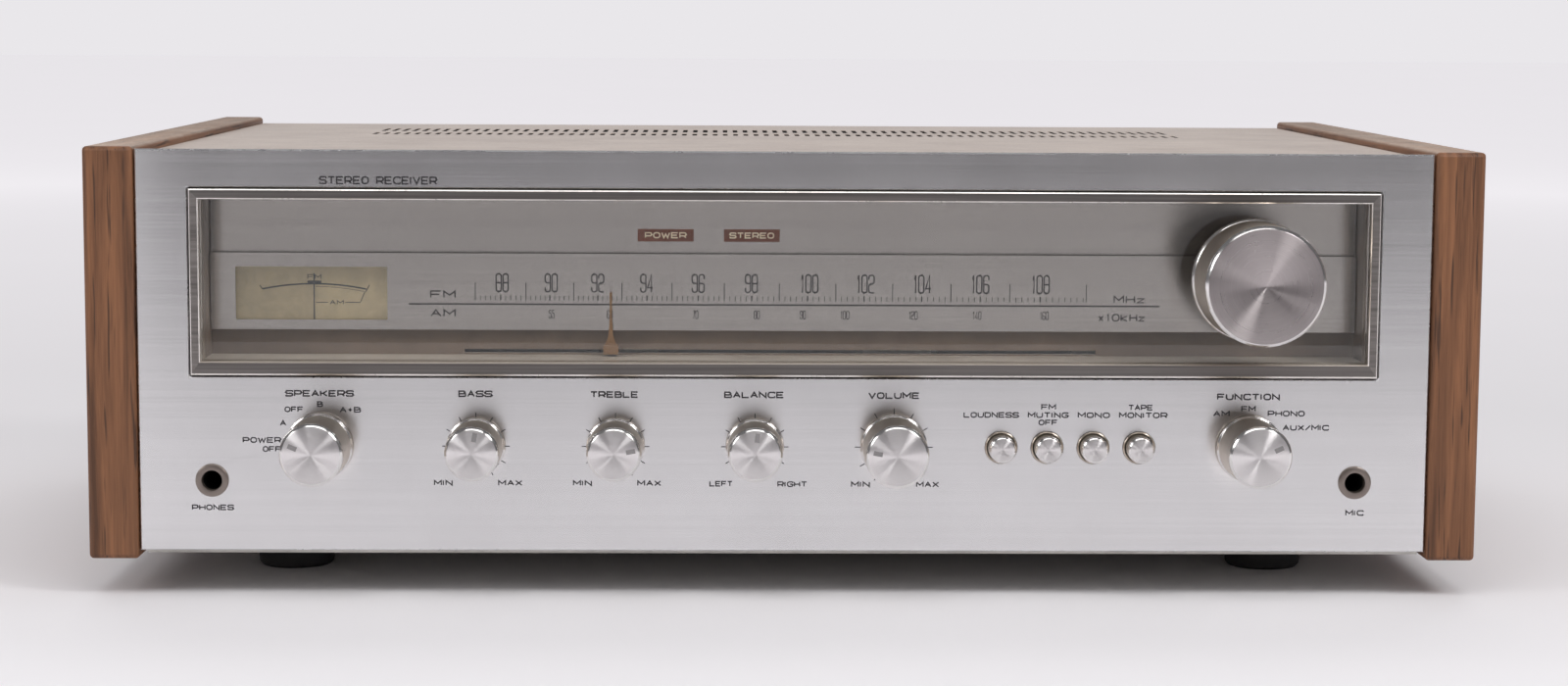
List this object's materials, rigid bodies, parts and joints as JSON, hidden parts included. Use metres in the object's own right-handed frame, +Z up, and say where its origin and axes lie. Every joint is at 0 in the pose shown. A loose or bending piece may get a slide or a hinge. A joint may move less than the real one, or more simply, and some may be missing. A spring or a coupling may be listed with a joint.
{
  "type": "stereo receiver",
  "caption": "Wide hi-fi stereo receiver with a brushed faceplate, a glazed tuning dial with a cord-driven pointer, turned knobs, push buttons and wooden cheeks.",
  "frame": {"origin": "middle of the footprint, on the surface that the feet stand on", "axes": "+X to the right as seen from the front, +Y from the front to the back, +Z up"},
  "size_m": [0.446, 0.315, 0.144],
  "materials": {
    "walnut": "oiled walnut veneer, vertical grain on the front edge",
    "cover_vinyl": "walnut-pattern vinyl on steel, dusty",
    "face_aluminium": "brushed along its length, clear anodised",
    "bezel_metal": "dark brushed with bright cut edges",
    "window_glass": "clear",
    "housing_plastic": "moulded, satin",
    "dial_plate": "fine brushed, printed",
    "indicator_plastic": "lit from behind",
    "meter_plastic": "moulded",
    "meter_card": "printed, aged",
    "needle_black": "matt",
    "pointer_plastic": "orange-brown, dusty",
    "polished_rod": "ground",
    "cord_thread": "braided",
    "white_plastic": "moulded",
    "knob_aluminium": "turned face, bright bevel",
    "ring_aluminium": "turned",
    "shaft_steel": "turned",
    "flywheel_iron": "machined",
    "capacitor_plates": "rolled",
    "board_resin": "phenolic paper with components",
    "transformer": "varnished",
    "heat_sink_black": "black anodised",
    "capacitor_sleeve": "shrink sleeve",
    "plated_steel": "zinc plated",
    "switch_resin": "phenolic",
    "nut_chrome": "plated",
    "switch_cream": "moulded",
    "jack_collar": "plated collar, dark barrel",
    "lamp_glass": "clear bulb",
    "foot_rubber": "moulded",
    "screw_steel": "blackened",
    "rear_plastic": "moulded",
    "rear_steel": "zinc plated",
    "terminal_brass": "plated",
    "ferrite_black": "moulded"
  },
  "bodies": {
    "root": {"chassis_pan": "plated_steel", "rear_panel": "rear_steel", "top_cover": "cover_vinyl", "left_cheek": "walnut", "right_cheek": "walnut", "faceplate": "face_aluminium", "front_subpanel": "plated_steel", "dial_bezel": "bezel_metal", "dial_glass": "window_glass", "dial_housing": "housing_plastic", "scale_plate": "dial_plate", "upper_dial_panel": "dial_plate", "indicator_windows": "indicator_plastic", "meter_case": "meter_plastic", "meter_card": "meter_card", "meter_lens": "window_glass", "pointer_rail": "polished_rod", "dial_cord": "cord_thread", "tuning_capacitor": "capacitor_plates", "circuit_boards": "board_resin", "power_transformer": "transformer", "heat_sink": "heat_sink_black", "filter_capacitors": "capacitor_sleeve", "tone_control_pots": "plated_steel", "rotary_switches": "switch_resin", "shaft_nuts": "nut_chrome", "button_switch_bank": "switch_cream", "button_rings": "ring_aluminium", "phones_jack": "jack_collar", "mic_jack": "jack_collar", "dial_lamps": "lamp_glass", "feet": "foot_rubber", "case_screws": "screw_steel", "rca_jack_panel": "rear_plastic", "antenna_terminals": "rear_plastic", "speaker_terminals": "rear_plastic", "terminal_screws": "terminal_brass", "ac_outlets": "rear_plastic", "power_cord_grommet": "rear_plastic", "antenna_bracket": "rear_plastic"},
    "tuning": {"tuning_knob": "knob_aluminium", "tuning_shaft": "shaft_steel", "flywheel": "flywheel_iron"},
    "pointer": {"dial_pointer": "pointer_plastic"},
    "drum": {"dial_drum": "white_plastic"},
    "rotor": {"capacitor_rotor": "capacitor_plates"},
    "left_idler": {"left_idler_pulley": "white_plastic"},
    "right_idler": {"right_idler_pulley": "white_plastic"},
    "needle": {"meter_needle": "needle_black"},
    "speakers": {"speakers_knob": "knob_aluminium"},
    "bass": {"bass_knob": "knob_aluminium"},
    "treble": {"treble_knob": "knob_aluminium"},
    "balance": {"balance_knob": "knob_aluminium"},
    "volume": {"volume_knob": "knob_aluminium"},
    "function": {"function_knob": "knob_aluminium"},
    "loudness": {"loudness_button": "knob_aluminium"},
    "muting": {"muting_button": "knob_aluminium"},
    "mono": {"mono_button": "knob_aluminium"},
    "tape_monitor": {"tape_monitor_button": "knob_aluminium"},
    "antenna": {"ferrite_antenna": "ferrite_black"}
  },
  "joints": [
    {"name": "tuning_turn", "type": "hinge", "parent": "root", "child": "tuning", "pos_m": [0.1493, -0.1345, 0.1028], "axis": [0, 1, 0], "range_deg": [-500, 1765]},
    {"name": "pointer_slide", "type": "slide", "parent": "root", "child": "pointer", "axis": [1, 0, 0], "range_m": [-0.0437, 0.1541]},
    {"name": "drum_turn", "type": "hinge", "parent": "root", "child": "drum", "pos_m": [0, -0.0985, 0.104], "axis": [0, 1, 0], "range_deg": [-421, 120]},
    {"name": "rotor_turn", "type": "hinge", "parent": "root", "child": "rotor", "pos_m": [0, -0.0745, 0.104], "axis": [0, 1, 0], "range_deg": [-140.4, 40]},
    {"name": "left_idler_turn", "type": "hinge", "parent": "root", "child": "left_idler", "pos_m": [-0.114, -0.0985, 0.085], "axis": [0, 1, 0], "range_deg": [-1261, 358]},
    {"name": "right_idler_turn", "type": "hinge", "parent": "root", "child": "right_idler", "pos_m": [0.139, -0.0985, 0.084], "axis": [0, 1, 0], "range_deg": [-1471, 417]},
    {"name": "needle_swing", "type": "hinge", "parent": "root", "child": "needle", "pos_m": [-0.1537, -0.1075, 0.066], "axis": [0, 1, 0], "range_deg": [-30, 30], "stiffness_Nm_per_rad": 0.0001},
    {"name": "speakers_turn", "type": "hinge", "parent": "root", "child": "speakers", "pos_m": [-0.149, -0.1345, 0.0487], "axis": [0, 1, 0], "range_deg": [-30, 90]},
    {"name": "bass_turn", "type": "hinge", "parent": "root", "child": "bass", "pos_m": [-0.0992, -0.1345, 0.0487], "axis": [0, 1, 0], "range_deg": [-160, 140]},
    {"name": "treble_turn", "type": "hinge", "parent": "root", "child": "treble", "pos_m": [-0.0546, -0.1345, 0.0487], "axis": [0, 1, 0], "range_deg": [-230, 70]},
    {"name": "balance_turn", "type": "hinge", "parent": "root", "child": "balance", "pos_m": [-0.01, -0.1345, 0.0487], "axis": [0, 1, 0], "range_deg": [-156, 144]},
    {"name": "volume_turn", "type": "hinge", "parent": "root", "child": "volume", "pos_m": [0.0346, -0.1345, 0.0487], "axis": [0, 1, 0], "range_deg": [-70, 230]},
    {"name": "function_turn", "type": "hinge", "parent": "root", "child": "function", "pos_m": [0.149, -0.1345, 0.0487], "axis": [0, 1, 0], "range_deg": [-90, 0]},
    {"name": "loudness_press", "type": "slide", "parent": "root", "child": "loudness", "axis": [0, 1, 0], "range_m": [0, 0.0035], "stiffness_N_per_m": 200, "springref_m": -0.002},
    {"name": "muting_press", "type": "slide", "parent": "root", "child": "muting", "axis": [0, 1, 0], "range_m": [0, 0.0035], "stiffness_N_per_m": 200, "springref_m": -0.002},
    {"name": "mono_press", "type": "slide", "parent": "root", "child": "mono", "axis": [0, 1, 0], "range_m": [0, 0.0035], "stiffness_N_per_m": 200, "springref_m": -0.002},
    {"name": "tape_monitor_press", "type": "slide", "parent": "root", "child": "tape_monitor", "axis": [0, 1, 0], "range_m": [0, 0.0035], "stiffness_N_per_m": 200, "springref_m": -0.002},
    {"name": "antenna_swing", "type": "hinge", "parent": "root", "child": "antenna", "pos_m": [0.176, 0.1529, 0.116], "axis": [0, 0, -1], "range_deg": [0, 90]}
  ],
  "couplings": [
    {"joint": "pointer_slide", "follows": "tuning_turn", "m_per_rad": 0.005},
    {"joint": "drum_turn", "follows": "tuning_turn", "ratio": -0.2381},
    {"joint": "rotor_turn", "follows": "tuning_turn", "ratio": -0.079365},
    {"joint": "left_idler_turn", "follows": "tuning_turn", "ratio": -0.71429},
    {"joint": "right_idler_turn", "follows": "tuning_turn", "ratio": -0.83333}
  ]
}
